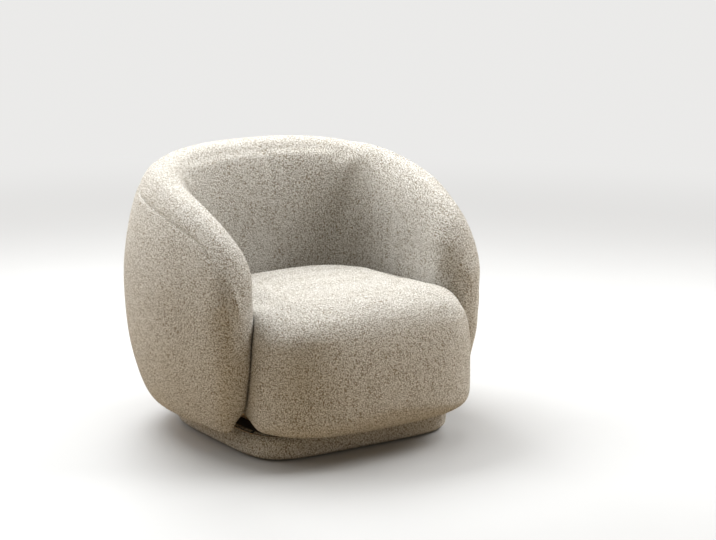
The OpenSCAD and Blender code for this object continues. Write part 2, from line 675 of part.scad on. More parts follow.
module webbing_cross() {
    color(webbing_colour)
        for (k = [0:3])
            translate([-frame_half_width, webbing_start_y + k * webbing_pitch_y, webbing_low_z])
                cube([2 * frame_half_width, webbing_width, webbing_thickness]);
}
module webbing_long() {
    color(webbing_colour)
        for (k = [-2:2])
            translate([k * webbing_pitch_x - webbing_width / 2, frame_front_y, webbing_high_z])
                cube([webbing_width, frame_back_y - frame_front_y, webbing_thickness]);
}
module webbing_felt() {
    color(felt_colour)
        translate([-frame_half_width, frame_front_y, felt_low_z])
            cube([2 * frame_half_width, frame_back_y - frame_front_y, felt_thickness]);
}

// Plinth: a rounded square ring of rails and corner blocks under a board, padded and covered.
function plinth_at(u, inset) = [(plinth_half - inset) * spow(cos(u), 2 / plinth_power),
    plinth_centre_y + (plinth_half_depth - inset) * spow(sin(u), 2 / plinth_power)];
function plinth_outline(inset) = [for (u = [0:5:355]) plinth_at(u, inset)];
module plinth_ring(low_z, high_z, inset_out, inset_in) {
    difference() {
        translate([0, 0, low_z]) linear_extrude(height = high_z - low_z) polygon(plinth_outline(inset_out));
        translate([0, 0, low_z - board_thickness])
            linear_extrude(height = high_z - low_z + 2 * board_thickness) polygon(plinth_outline(inset_in));
    }
}
module plinth_segment(a, b, thickness) {
    count = 8;
    arc = [for (k = [0:count]) a + (b - a) * k / count];
    translate([0, 0, plinth_frame_low_z])
        linear_extrude(height = board_low_z - plinth_frame_low_z - wood_gap)
            polygon(concat([for (u = arc) plinth_at(u, plinth_frame_inset)],
                [for (k = [count:-1:0]) plinth_at(arc[k], plinth_frame_inset + thickness)]));
}
glide_points = [for (u = [45, 135, 225, 315]) plinth_at(u, plinth_frame_inset + corner_thickness / 2)];
module at_glides() {
    for (p = glide_points) translate([p.x, p.y, 0]) children();
}
module plinth_corner(a) {
    color(wood_colour) difference() {
        plinth_segment(a - 45 + corner_angle + joint_angle, a + 45 - corner_angle - joint_angle, corner_thickness);
        at_glides() cylinder(h = screw_length + glide_height, d = screw_diameter + screw_clearance, $fn = 24);
    }
}
module plinth_rail(a) {
    color(wood_colour) plinth_segment(a - corner_angle, a + corner_angle, plinth_rail_thickness);
}
module plinth_rail_right() { plinth_rail(0); }
module plinth_rail_back() { plinth_rail(90); }
module plinth_rail_left() { plinth_rail(180); }
module plinth_rail_front() { plinth_rail(270); }
module plinth_corner_back_right() { plinth_corner(45); }
module plinth_corner_back_left() { plinth_corner(135); }
module plinth_corner_front_left() { plinth_corner(225); }
module plinth_corner_front_right() { plinth_corner(315); }
module plinth_board() {
    color(board_colour) difference() {
        translate([0, 0, board_low_z])
            linear_extrude(height = board_thickness) polygon(plinth_outline(plinth_frame_inset));
        screw_row(board_low_z - board_thickness, 3 * board_thickness, platform_screw_diameter + screw_clearance);
    }
}
module plinth_padding() {
    color(foam_colour)
        plinth_ring(plinth_low_z + cover_thickness, plinth_height - soft_gap,
            cover_thickness + soft_gap, plinth_frame_inset - soft_gap);
}
module plinth_cover() {
    color(fabric_colour) plinth_ring(plinth_low_z, plinth_height, 0, cover_thickness);
}
module dust_cloth() {
    color(lining_colour) difference() {
        translate([0, 0, dust_low_z])
            linear_extrude(height = dust_thickness) polygon(plinth_outline(plinth_frame_inset));
        at_glides() cylinder(h = 2 * glide_height, d = glide_boss_diameter + soft_gap, $fn = 32);
    }
}
module glides() {
    color(glide_colour) at_glides() difference() {
        union() {
            cylinder(h = glide_height, d = glide_diameter, $fn = 48);
            cylinder(h = plinth_frame_low_z - wood_gap, d = glide_boss_diameter, $fn = 48);
        }
        translate([0, 0, -glide_height])
            cylinder(h = 3 * glide_height, d = screw_diameter + screw_clearance, $fn = 24);
        translate([0, 0, -glide_height])
            cylinder(h = glide_height + glide_recess, d = screw_head_diameter + screw_clearance, $fn = 32);
    }
}
module glide_screws() {
    head_height = glide_recess - 1;
    color(steel_colour) at_glides() union() {
        translate([0, 0, glide_recess - head_height - wood_gap])
            cylinder(h = head_height, d = screw_head_diameter, $fn = 32);
        translate([0, 0, glide_recess - head_height])
            cylinder(h = screw_length, d = screw_diameter, $fn = 24);
    }
}

glides();
glide_screws();
dust_cloth();
plinth_rail_front();
plinth_rail_back();
plinth_rail_left();
plinth_rail_right();
plinth_corner_front_left();
plinth_corner_front_right();
plinth_corner_back_left();
plinth_corner_back_right();
plinth_board();
plinth_padding();
plinth_cover();
seat_platform();
platform_screws();
frame_rail_front();
frame_rail_back();
frame_rail_left();
frame_rail_right();
spacer_front_left();
spacer_front_right();
spacer_rear_left();
spacer_rear_right();
frame_bolts();
bolt_washers();
threaded_inserts();
webbing_cross();
webbing_long();
webbing_felt();
seat_edge_foam();
seat_foam_core();
seat_foam_topper();
seat_cover_band();
seat_cover_top();
bottom_rail();
rib_back();
rib_rear_left();
rib_rear_right();
rib_side_left();
rib_side_right();
rib_front_left();
rib_front_right();
arm_rail_left();
arm_rail_right();
inner_liner();
outer_liner();
shell_foam_left();
shell_foam_back();
shell_foam_right();
shell_cover_outer();
shell_cover_left();
shell_cover_middle();
shell_cover_right();
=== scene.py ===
import math
import bmesh
import bpy
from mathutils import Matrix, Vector, kdtree
from mathutils.bvhtree import BVHTree


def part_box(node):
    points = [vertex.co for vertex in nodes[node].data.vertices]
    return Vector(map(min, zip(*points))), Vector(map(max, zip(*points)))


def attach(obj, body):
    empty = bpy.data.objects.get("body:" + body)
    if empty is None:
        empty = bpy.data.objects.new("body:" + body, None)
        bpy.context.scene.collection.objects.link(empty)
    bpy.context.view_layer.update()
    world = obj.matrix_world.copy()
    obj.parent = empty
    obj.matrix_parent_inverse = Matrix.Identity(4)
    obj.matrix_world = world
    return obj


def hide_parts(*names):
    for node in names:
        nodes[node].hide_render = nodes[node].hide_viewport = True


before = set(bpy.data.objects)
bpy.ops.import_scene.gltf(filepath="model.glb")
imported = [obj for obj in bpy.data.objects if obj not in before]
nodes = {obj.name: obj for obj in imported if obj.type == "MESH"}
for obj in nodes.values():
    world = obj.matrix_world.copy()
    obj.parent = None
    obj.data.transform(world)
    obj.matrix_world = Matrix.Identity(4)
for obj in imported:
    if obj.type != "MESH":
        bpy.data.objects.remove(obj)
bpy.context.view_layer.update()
scene = bpy.context.scene
scene.view_settings.view_transform = "Standard"


class Wire:
    # one shader socket, so that shader maths reads as plain expressions
    def __init__(self, socket):
        self.socket = socket
        self.tree = socket.id_data

    def node(self, kind, settings=None, inputs=None, output=0):
        made = self.tree.nodes.new(kind)
        for name, value in (settings or {}).items():
            setattr(made, name, value)
        for name, value in (inputs or {}).items():
            if isinstance(value, Wire):
                self.tree.links.new(value.socket, made.inputs[name])
            else:
                made.inputs[name].default_value = value
        return Wire(made.outputs[output])

    def maths(self, operation, *values):
        return self.node("ShaderNodeMath", {"operation": operation}, dict(enumerate(values)))

    def __add__(self, other):
        return self.maths("ADD", self, other)

    def __radd__(self, other):
        return self.maths("ADD", other, self)

    def __sub__(self, other):
        return self.maths("SUBTRACT", self, other)

    def __rsub__(self, other):
        return self.maths("SUBTRACT", other, self)

    def __mul__(self, other):
        return self.maths("MULTIPLY", self, other)

    def __abs__(self):
        return self.maths("ABSOLUTE", self)

    def between(self, low, high, toLow=0.0, toHigh=1.0):
        inputs = {"Value": self, "From Min": low, "From Max": high, "To Min": toLow, "To Max": toHigh}
        return self.node("ShaderNodeMapRange", {"interpolation_type": "SMOOTHSTEP"}, inputs)

    def wave(self, count):
        # rises and falls count times a metre, between 0 and 1
        return self.maths("SINE", self * (count * math.tau)) * 0.5 + 0.5

    def along(self, axis):
        return self.node("ShaderNodeSeparateXYZ", {}, {0: self}, "XYZ".index(axis))

    def length(self):
        return self.node("ShaderNodeVectorMath", {"operation": "LENGTH"}, {0: self}, "Value")

    def moved(self, offset, amount):
        # a place in space pushed by a colour or vector times an amount
        push = self.node("ShaderNodeVectorMath", {"operation": "SCALE"}, {0: offset, "Scale": amount})
        return self.node("ShaderNodeVectorMath", {"operation": "ADD"}, {0: self, 1: push})

    def stretched(self, scale):
        return self.node("ShaderNodeMapping", {}, {"Vector": self, "Scale": scale})

    def noise(self, scale, detail=2.0, roughness=0.5, output="Fac"):
        inputs = {"Vector": self, "Scale": scale, "Detail": detail, "Roughness": roughness}
        return self.node("ShaderNodeTexNoise", {}, inputs, output)

    def cells(self, scale, output="Distance", randomness=1.0):
        # cells, as the distance from their middles or as a colour for each
        inputs = {"Vector": self, "Scale": scale, "Randomness": randomness}
        return self.node("ShaderNodeTexVoronoi", {"feature": "F1"}, inputs, output)

    def red(self):
        return self.node("ShaderNodeSeparateColor", {}, {"Color": self})

    def blend(self, low, high):
        # colours mixed by this value
        made = self.tree.nodes.new("ShaderNodeMix")
        made.data_type = "RGBA"
        self.tree.links.new(self.socket, made.inputs[0])
        for slot, value in ((6, low), (7, high)):  # the node's two colour inputs
            if isinstance(value, Wire):
                self.tree.links.new(value.socket, made.inputs[slot])
            else:
                made.inputs[slot].default_value = (*value, 1)
        return Wire(made.outputs[2])  # its colour output


def startMaterial(name, fixed):
    material = bpy.data.materials.new(name)
    material.use_nodes = True
    tree = material.node_tree
    shader = tree.nodes["Principled BSDF"]
    for socketName, value in fixed.items():
        shader.inputs[socketName].default_value = value
    place = Wire(tree.nodes.new("ShaderNodeTexCoord").outputs["Object"])
    return material, place, shader


def feed(shader, socketName, wire):
    wire.tree.links.new(wire.socket, shader.inputs[socketName])


def feedBump(shader, height, strength, distance):
    inputs = {"Height": height, "Strength": strength, "Distance": distance}
    feed(shader, "Normal", height.node("ShaderNodeBump", {}, inputs))


cameraSpec = {"azimuth": -33.3, "elevation": 12.9, "distance": 5.63, "lens": 110.66, "clipEnd": 200,
              "middle": (0, -0.009, 0.36), "aside": 0.1402, "above": 0.0373}
floorSpec = {"size": 40, "seen": (0.42, 0.416, 0.409), "bounce": (0.42, 0.32, 0.20), "roughness": 0.6,
             "fadeFrom": 1.2, "fadeTo": 4.0, "backdrop": (0.83, 0.825, 0.815),
             "speck": (3.0, 3.0), "speckRange": (0.3, 0.7), "speckShade": 0.985}
lightSpec = {"world": (1.0, 0.90, 0.76), "worldStrength": 0.36, "aim": (0, 0, 0.35), "lamps": {
    "behind": {"place": (-0.3, 1.7, 2.75), "size": (2.6, 1.6), "power": 160, "colour": (0.95, 0.975, 1.0)},
    "above": {"place": (0.1, 0.2, 2.9), "size": (2.0, 1.6), "power": 48, "colour": (0.95, 0.975, 1.0)},
    "backLeft": {"place": (-2.2, 1.5, 1.9), "size": (1.4, 1.4), "power": 38, "colour": (0.96, 0.98, 1.0)},
    "frontRight": {"place": (2.0, -1.0, 2.4), "size": (1.4, 1.4), "power": 72, "colour": (0.96, 0.98, 1.0)},
    "right": {"place": (2.7, 0, 1.6), "size": (1.4, 1.4), "power": 30, "colour": (0.96, 0.98, 1.0)}}}


def makeCamera():
    spec = cameraSpec
    turn, rise = math.radians(spec["azimuth"]), math.radians(spec["elevation"])
    back = Vector((math.sin(turn) * math.cos(rise), -math.cos(turn) * math.cos(rise), math.sin(rise)))
    right = Vector((math.cos(turn), math.sin(turn), 0))
    aim = Vector(spec["middle"]) + right * spec["aside"] + back.cross(right) * spec["above"]
    camera = bpy.data.objects.new("camera", bpy.data.cameras.new("camera"))
    scene.collection.objects.link(camera)
    camera.data.lens = spec["lens"]
    camera.data.clip_end = spec["clipEnd"]
    camera.location = aim + back * spec["distance"]
    camera.rotation_euler = (-back).to_track_quat("-Z", "Y").to_euler()
    scene.camera = camera


def makeFloor():
    spec = floorSpec
    bm = bmesh.new()
    bmesh.ops.create_grid(bm, x_segments=2, y_segments=2, size=spec["size"])
    floor = objectFrom(bm, "floor")
    material, place, shader = startMaterial("paleFloor", {"Roughness": spec["roughness"]})
    speck = place.noise(*spec["speck"]).between(*spec["speckRange"])
    plain = speck.blend(shaded(spec["seen"], spec["speckShade"]), spec["seen"])
    camera = place.node("ShaderNodeLightPath", {}, {}, "Is Camera Ray")
    glossy = place.node("ShaderNodeLightPath", {}, {}, "Is Glossy Ray")
    seen = camera.maths("MAXIMUM", camera, glossy)
    feed(shader, "Base Color", seen.blend(spec["bounce"], plain))
    # far from the chair the floor runs into the plain backdrop
    far = place.length().between(spec["fadeFrom"], spec["fadeTo"]) * seen
    glow = place.node("ShaderNodeEmission", {}, {"Color": (*spec["backdrop"], 1)})
    mixed = place.node("ShaderNodeMixShader", {}, {0: far, 1: Wire(shader.outputs[0]), 2: glow})
    far.tree.links.new(mixed.socket, far.tree.nodes["Material Output"].inputs["Surface"])
    floor.data.materials.append(material)


def makeLights():
    world = bpy.data.worlds.new("room")
    scene.world = world
    world.use_nodes = True
    background = world.node_tree.nodes["Background"]
    path = world.node_tree.nodes.new("ShaderNodeLightPath")
    seen = Wire(path.outputs["Is Camera Ray"])
    for kind in ("Is Glossy Ray", "Is Transmission Ray"):
        seen = seen.maths("MAXIMUM", seen, Wire(path.outputs[kind]))
    feed(background, "Color", seen.blend(lightSpec["world"], floorSpec["backdrop"]))
    feed(background, "Strength", seen * (1 - lightSpec["worldStrength"]) + lightSpec["worldStrength"])
    for name, spec in lightSpec["lamps"].items():
        lamp = bpy.data.lights.new(name, "AREA")
        lamp.shape = "RECTANGLE"
        lamp.size, lamp.size_y = spec["size"]
        lamp.energy = spec["power"]
        lamp.color = spec["colour"]
        holder = bpy.data.objects.new(name, lamp)
        scene.collection.objects.link(holder)
        holder.location = spec["place"]
        away = Vector(spec["place"]) - Vector(lightSpec["aim"])
        holder.rotation_euler = away.to_track_quat("Z", "Y").to_euler()


def shaded(colour, share):
    return tuple(channel * share for channel in colour)


def objectFrom(bm, name):
    mesh = bpy.data.meshes.new(name)
    bm.to_mesh(mesh)
    bm.free()
    made = bpy.data.objects.new(name, mesh)
    scene.collection.objects.link(made)
    return made


def meshOf(obj):
    bm = bmesh.new()
    bm.from_mesh(obj.data)
    bm.normal_update()
    return bm


def writeBack(bm, obj):
    bm.to_mesh(obj.data)
    bm.free()
    obj.data.update()


def shown(obj):
    # the object's mesh with its modifiers applied, as a bmesh
    depsgraph = bpy.context.evaluated_depsgraph_get()
    bm = bmesh.new()
    bm.from_object(obj, depsgraph)
    return bm


def smoothFaces(obj):
    obj.data.polygons.foreach_set("use_smooth", [True] * len(obj.data.polygons))


def finishPiece(piece, material, stands):
    piece.data.materials.clear()
    piece.data.materials.append(material)
    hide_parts(*stands)
    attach(piece, "root")


# angles in degrees; half is the share of its neighbours that a smoothed corner takes
meshSpec = {"weldGap": 0.00001, "sheetFold": 55, "coverBend": 50, "flatBend": 10, "skew": 110, "rimBend": 60,
            "holeSides": 6, "rimJoin": 4, "fitRounds": 4, "fitShare": 0.9, "half": 0.5, "keep": 1.02}


def nodeMesh(name):
    bm = bmesh.new()
    bm.from_mesh(nodes[name].data)
    bmesh.ops.remove_doubles(bm, verts=bm.verts, dist=meshSpec["weldGap"])
    return bm


def joinTriangles(bm, bend):
    bmesh.ops.join_triangles(bm, faces=bm.faces, angle_face_threshold=math.radians(bend),
                             angle_shape_threshold=math.radians(meshSpec["skew"]))


def smoothVerts(bm, verts, factor):
    bmesh.ops.smooth_vert(bm, verts=verts, factor=factor, use_axis_x=True, use_axis_y=True, use_axis_z=True)


def roundRims(bm, offset, segments):
    # rounds every sharp edge between two faces
    bend = math.radians(meshSpec["rimBend"])
    rims = [e for e in bm.edges if len(e.link_faces) == 2 and e.calc_face_angle() > bend]
    bmesh.ops.bevel(bm, geom=rims, offset=offset, offset_type="OFFSET", segments=segments, profile=0.5,
                    affect="EDGES", material=-1)


def extruded(bm, edges):
    # new faces along a row of edges: the corners and edges that were made
    made = bmesh.ops.extrude_edge_only(bm, edges=edges)["geom"]
    return [[g for g in made if isinstance(g, kind)] for kind in (bmesh.types.BMVert, bmesh.types.BMEdge)]


def dropFaces(bm, faces):
    bmesh.ops.delete(bm, geom=faces, context="FACES")


def fixNormals(bm):
    bmesh.ops.recalc_face_normals(bm, faces=bm.faces)


def corners(part):
    verts = [part] if isinstance(part, bmesh.types.BMVert) else part.verts
    return sorted(tuple(v.co) for v in verts)


def putInOrder(bm):
    # by place, because Blender's tools leave new parts in another order on each run
    for parts in (bm.verts, bm.edges, bm.faces):
        for number, part in enumerate(sorted(parts, key=corners)):
            part.index = number
        parts.sort()


def treeOf(objects):
    bm = bmesh.new()
    for obj in objects:
        bm.from_mesh(obj.data)
    tree = BVHTree.FromBMesh(bm)
    bm.free()
    return tree


def facesWithin(bm, bend):
    # groups of faces that run on into each other with no sharper fold than bend
    bm.faces.index_update()
    seen, groups = set(), []
    for start in bm.faces:
        if start.index in seen:
            continue
        seen.add(start.index)
        group, waiting = [], [start]
        while waiting:
            face = waiting.pop()
            group.append(face)
            for edge in face.edges:
                if len(edge.link_faces) == 2 and edge.calc_face_angle() < bend:
                    for other in edge.link_faces:
                        if other.index not in seen:
                            seen.add(other.index)
                            waiting.append(other)
        groups.append(group)
    return groups


def outerSkin(name):
    # the outside of a cover's sheet, without its back and its edges
    bm = nodeMesh(name)
    groups = facesWithin(bm, math.radians(meshSpec["sheetFold"]))
    kept = max(groups, key=lambda group: sum(face.calc_area() for face in group))
    dropFaces(bm, [face for group in groups if group is not kept for face in group])
    bmesh.ops.holes_fill(bm, edges=[e for e in bm.edges if e.is_boundary], sides=meshSpec["holeSides"])
    joinTriangles(bm, meshSpec["coverBend"])
    return bm


def joinedCage(panels, joinDistance):
    # the panels' outsides as one sheet; a face's material number is its panel
    cage = bmesh.new()
    for number, name in enumerate(panels):
        skin = outerSkin(name)
        for face in skin.faces:
            face.material_index = number
        mesh = bpy.data.meshes.new("skin")
        skin.to_mesh(mesh)
        skin.free()
        cage.from_mesh(mesh)
        bpy.data.meshes.remove(mesh)
    bmesh.ops.remove_doubles(cage, verts=cage.verts, dist=joinDistance)
    rims = [v for v in cage.verts if v.is_boundary]
    bmesh.ops.remove_doubles(cage, verts=rims, dist=joinDistance * meshSpec["rimJoin"])
    fixNormals(cage)
    return cage


def addSmoothing(obj, levels):
    smooth = obj.modifiers.new("smooth", "SUBSURF")
    smooth.levels = smooth.render_levels = levels


def applyModifiers(obj):
    bm = shown(obj)
    obj.modifiers.clear()
    writeBack(bm, obj)


def subdivided(obj, levels):
    addSmoothing(obj, levels)
    applyModifiers(obj)


def roundThrough(obj, levels):
    # a smooth surface that passes through the cage's own corners
    goal = [v.co.copy() for v in obj.data.vertices]
    addSmoothing(obj, levels)
    for step in range(meshSpec["fitRounds"]):
        bm = shown(obj)
        bm.verts.ensure_lookup_table()
        for index, vert in enumerate(obj.data.vertices):
            vert.co += (goal[index] - bm.verts[index].co) * meshSpec["fitShare"]
        bm.free()
        obj.data.update()
    applyModifiers(obj)


def panelsAt(vert):
    return {face.material_index for face in vert.link_faces}


def farFrom(place, lines):
    # distance to the nearest of some lines, each given by its two ends
    distances = []
    for start, end in lines:
        line = end - start
        share = min(1.0, max(0.0, (place - start).dot(line) / line.length_squared))
        distances.append((place - start - line * share).length)
    return min(distances)


def smoothShare(value, low, high):
    share = min(1.0, max(0.0, (value - low) / (high - low)))
    return share * share * (3 - 2 * share)


def relax(obj, rounds, lines=(), reach=0.0, keep=meshSpec["keep"]):
    # evens out lumps; keep gives back the size that this costs, and no lines means all of it
    bm = meshOf(obj)
    verts = [v for v in bm.verts if not v.is_boundary and (not lines or farFrom(v.co, lines) < reach)]
    for step in range(rounds):
        smoothVerts(bm, verts, meshSpec["half"])
        if keep:
            smoothVerts(bm, verts, -meshSpec["half"] * keep)
    writeBack(bm, obj)


def pushedOut(obj, amounts, limits, rounds):
    # moves the surface along its normals by amounts that are first evened out over their neighbours
    bm = meshOf(obj)
    bm.verts.ensure_lookup_table()
    around = [[e.other_vert(v).index for e in v.link_edges] for v in bm.verts]
    for step in range(rounds):
        evened = [(amounts[i] + sum(amounts[j] for j in near) / len(near)) * meshSpec["half"]
                  for i, near in enumerate(around)]
        amounts = [min(a, b) for a, b in zip(evened, limits)]
    for vert, amount in zip(bm.verts, amounts):
        if not vert.is_boundary:
            vert.co += vert.normal * amount
    writeBack(bm, obj)
    return max(amounts)


def tellMost(what, obj, most):
    print(what, obj.name, "by up to", round(most * 1000, 1), "mm")


# what the covers of the shell and the seat share; turns are shares of turnIn, inward and down
coverSpec = {"joinDistance": 0.0026, "firstRounds": 2, "levels": 2, "swellRounds": 2, "reach": 0.045,
             "rayStart": 0.0001, "lastRounds": 3, "lastLevels": 1, "seamFade": 3, "drawBack": 0.0006,
             "leastDraw": 0.1, "cornerBelow": 0.1, "turnIn": 0.004, "turns": ((-0.1, 0.35), (0.15, 0.65)),
             "fill": 0.9}
clothSpec = {"quality": 6, "mass": 0.4, "stiffness": 15.0, "bending": 0.6, "pressure": 4.0, "frames": 20,
             "cap": 0.004, "rayStart": 0.00005, "evenRounds": 3}


def swell(obj, lines, reach, amount):
    # fills the padding out along a few lines
    bm = meshOf(obj)
    amounts = [amount * smoothShare(1 - farFrom(vert.co, lines) / reach, 0, 1) for vert in bm.verts]
    bm.free()
    pushedOut(obj, amounts, [amount] * len(amounts), coverSpec["swellRounds"])


def leanOn(obj, tree, spec):
    # padded faces that almost meet swell until they do
    bm = meshOf(obj)
    amounts, limits = [], []
    reach = coverSpec["reach"]
    for vert in bm.verts:
        start = vert.co + vert.normal * coverSpec["rayStart"]
        place, normal, index, distance = tree.ray_cast(start, vert.normal, reach)
        gap = reach if distance is None else distance
        limits.append(max(0.0, gap * spec["leanShare"] - spec["clear"]))
        amounts.append(0.0 if distance is None else limits[-1])
    bm.free()
    tellMost("leaned", obj, pushedOut(obj, amounts, limits, spec["leanRounds"]))


def blown(obj, sewn):
    # how far air pressure moves each corner of the cloth while its sewn corners hold
    rest = [v.co.copy() for v in obj.data.vertices]
    obj.vertex_groups.new(name="sewn").add(sewn, 1.0, "REPLACE")
    cloth = obj.modifiers.new("cloth", "CLOTH")
    settings = cloth.settings
    settings.quality = clothSpec["quality"]
    settings.mass = clothSpec["mass"]
    settings.tension_stiffness = settings.compression_stiffness = clothSpec["stiffness"]
    settings.shear_stiffness = clothSpec["stiffness"]
    settings.bending_stiffness = clothSpec["bending"]
    settings.vertex_group_mass = "sewn"
    settings.use_pressure = True
    settings.uniform_pressure_force = clothSpec["pressure"]
    settings.effector_weights.gravity = 0
    cloth.collision_settings.use_collision = False
    cloth.point_cache.frame_start, cloth.point_cache.frame_end = 1, clothSpec["frames"]
    for number in range(1, clothSpec["frames"] + 1):
        scene.frame_set(number)
    bm = shown(obj)
    bm.verts.ensure_lookup_table()
    moved = [bm.verts[index].co - place for index, place in enumerate(rest)]
    bm.free()
    obj.modifiers.clear()
    obj.vertex_groups.clear()
    scene.frame_set(1)
    return moved


def inflate(obj, clear, neighbours):
    # padding pushes the cover out between its seams; the neighbours set how far
    bm = meshOf(obj)
    sewn = [v.index for v in bm.verts if v.is_boundary or len(panelsAt(v)) > 1]
    rest = [(v.co.copy(), v.normal.copy()) for v in bm.verts]
    bm.free()
    amounts, limits = [], []
    cap = clothSpec["cap"]
    for (place, normal), push in zip(rest, blown(obj, sewn)):
        distance = neighbours.ray_cast(place + normal * clothSpec["rayStart"], normal, cap + clear)[3]
        limits.append(cap if distance is None else max(0.0, min(cap, distance - clear)))
        amounts.append(min(limits[-1], cap * math.tanh(push.dot(normal) / cap)))
    tellMost("padded", obj, pushedOut(obj, amounts, limits, clothSpec["evenRounds"]))


def pressLine(obj, places, depths, width):
    # the cloth dips along a line of places
    finder = kdtree.KDTree(len(places))
    for index, place in enumerate(places):
        finder.insert(place, index)
    finder.balance()
    bm = meshOf(obj)
    for vert in bm.verts:
        near, index, distance = finder.find(vert.co)
        if distance < width * coverSpec["seamFade"]:
            vert.co -= vert.normal * (depths[index] * math.exp(-(distance / width) ** 2))
    writeBack(bm, obj)


def seamStrength(place, panels, spec):
    # how plainly a seam shows, from 0 to 1
    if "plainFrom" in spec:
        return spec["faint"] + (1 - spec["faint"]) * smoothShare(place.x, *spec["plainFrom"])
    if 0 not in panels:
        return spec["faint"]
    if place.y > spec["frontFrom"]:
        return 1.0
    return spec["frontFaint"] + (1 - spec["frontFaint"]) * smoothShare(place.z, *spec["plainTo"])


def pressSeams(obj, spec):
    bm = meshOf(obj)
    places, depths = [], []
    for vert in bm.verts:
        panels = panelsAt(vert)
        if len(panels) > 1:
            places.append(vert.co.copy())
            depths.append(spec["seamDepth"] * seamStrength(vert.co, panels, spec))
    bm.free()
    pressLine(obj, places, depths, spec["seamWidth"])


def inwardOf(vert):
    # the direction from a panel's edge into the panel, square to the edge
    away = Vector()
    for face in vert.link_faces:
        away += face.calc_center_median() - vert.co
    away -= vert.normal * away.dot(vert.normal)
    along = Vector()
    for edge in vert.link_edges:
        if edge.is_boundary:
            step = (edge.other_vert(vert).co - vert.co).normalized()
            along = along + step if along.dot(step) >= 0 else along - step
    if along.length > coverSpec["cornerBelow"]:
        along.normalize()
        away -= along * away.dot(along)
    return away.normalized()


def panelPiece(whole, number, name, spec):
    # one sewn panel of a cover, its edges drawn back a little and turned in at the seams
    bm = meshOf(whole)
    strength = {v: seamStrength(v.co, panelsAt(v), spec) for v in bm.verts}
    dropFaces(bm, [f for f in bm.faces if f.material_index != number])
    bm.normal_update()
    edges = [e for e in bm.edges if e.is_boundary]
    rim = [v for v in bm.verts if v.is_boundary]
    inward = {vert: (inwardOf(vert), vert.normal.copy()) for vert in rim}
    for vert in rim:
        vert.co += inward[vert][0] * coverSpec["drawBack"] * max(coverSpec["leastDraw"], strength[vert])
    for edge in edges:
        edge.smooth = False
    for out, down in coverSpec["turns"]:
        added, edges = extruded(bm, edges)
        for vert in added:
            source = next(e.other_vert(vert) for e in vert.link_edges if e.other_vert(vert) in inward)
            side, up = inward[vert] = inward[source]
            vert.co += side * (coverSpec["turnIn"] * out) - up * (coverSpec["turnIn"] * down)
    for face in bm.faces:
        face.material_index = 0
    fixNormals(bm)
    putInOrder(bm)
    piece = objectFrom(bm, name)
    smoothFaces(piece)
    return piece


shellSpec = {
    "panels": ["shell_cover_outer", "shell_cover_left", "shell_cover_middle", "shell_cover_right"],
    "names": ["shellCoverOuter", "shellCoverLeft", "shellCoverMiddle", "shellCoverRight"],
    "rounds": 80, "clear": 0.0012, "leanShare": 0.5, "leanRounds": 24, "seamDepth": 0.002, "seamWidth": 0.006,
    "faint": 0.15, "frontFaint": 0.12, "plainTo": (0.42, 0.52), "frontFrom": -0.12,  # where seams show
    "noseBehind": 0.03, "noseHeights": (0.12, 0.52), "noseRounds": [(0.16, 20), (0.13, 25), (0.10, 20)],
    "noseReach": 0.14, "noseSwell": 0.010, "afterReach": 0.18, "afterRounds": 10,
    "innerIn": 0.82, "innerHeights": (0.26, 0.46), "innerReach": 0.12, "innerSwell": 0.010,
    "fold": [(0.028, 0.2505, 0.686), (0.033, 0.234, 0.667), (0.037, 0.221, 0.639), (0.0427, 0.2117, 0.600),
             (0.043, 0.207, 0.569), (0.044, 0.205, 0.530), (0.045, 0.203, 0.49)],
    "foldSteps": 8, "foldStart": 6, "foldFade": 0.7, "foldDepth": 0.007, "foldWidth": 0.008}
seatSpec = {
    "panels": ["seat_cover_band", "seat_cover_top"],
    "names": ["seatCoverBand", "seatCoverTop"],
    "rounds": 60, "clear": 0.001, "leanShare": 1.0, "leanRounds": 30, "seamDepth": 0.0016, "seamWidth": 0.005,
    "faint": 0.0, "plainFrom": (0.10, 0.26),  # where seams show
    "sink": {"heights": (0.30, 0.36), "depths": (-0.25, 0.05), "all": 0.003, "back": 0.007},
    "shoulder": [(-0.20, -0.368, 0.355), (-0.08, -0.385, 0.355),
                 (0.08, -0.385, 0.355), (0.20, -0.368, 0.355)],
    "shoulderReach": 0.075, "shoulderSwell": 0.008}


def makeCovers(spec, cadNeighbours, leanTree, shape, fabric):
    cage = objectFrom(joinedCage(spec["panels"], coverSpec["joinDistance"]), "wholeCover")
    relax(cage, coverSpec["firstRounds"])
    roundThrough(cage, coverSpec["levels"])
    shape(cage)
    inflate(cage, spec["clear"], cadNeighbours)
    leanOn(cage, leanTree, spec)
    relax(cage, coverSpec["lastRounds"])
    subdivided(cage, coverSpec["lastLevels"])
    pressSeams(cage, spec)
    if "fold" in spec:
        pressLine(cage, *foldLine(spec), spec["foldWidth"])
    pieces = []
    for number, name in enumerate(spec["names"]):
        piece = panelPiece(cage, number, name, spec)
        finishPiece(piece, fabric, [spec["panels"][number]])
        pieces.append(piece)
    bpy.data.objects.remove(cage)
    return pieces


def foldLine(spec):
    # a soft fold that fades out down the middle of the back
    places, depths = [], []
    ends = [Vector(place) for place in spec["fold"]]
    steps = spec["foldSteps"]
    count = (len(ends) - 1) * steps
    for number in range(count + 1):
        index, share = divmod(number, steps)
        done = number / count
        places.append(ends[index] if share == 0 else ends[index].lerp(ends[index + 1], share / steps))
        depths.append(spec["foldDepth"] * min(1.0, done * spec["foldStart"]) * (1 - done) ** spec["foldFade"])
    return places, depths


def noseTips():
    # the foremost point of each arm
    tips = []
    for name in ("shell_cover_left", "shell_cover_right"):
        first = min((v.co for v in nodes[name].data.vertices), key=lambda place: place.y)
        tips.append((first.x, first.y))
    return tips


def upright(x, y, heights):
    low, high = heights
    return Vector((x, y, low)), Vector((x, y, high))


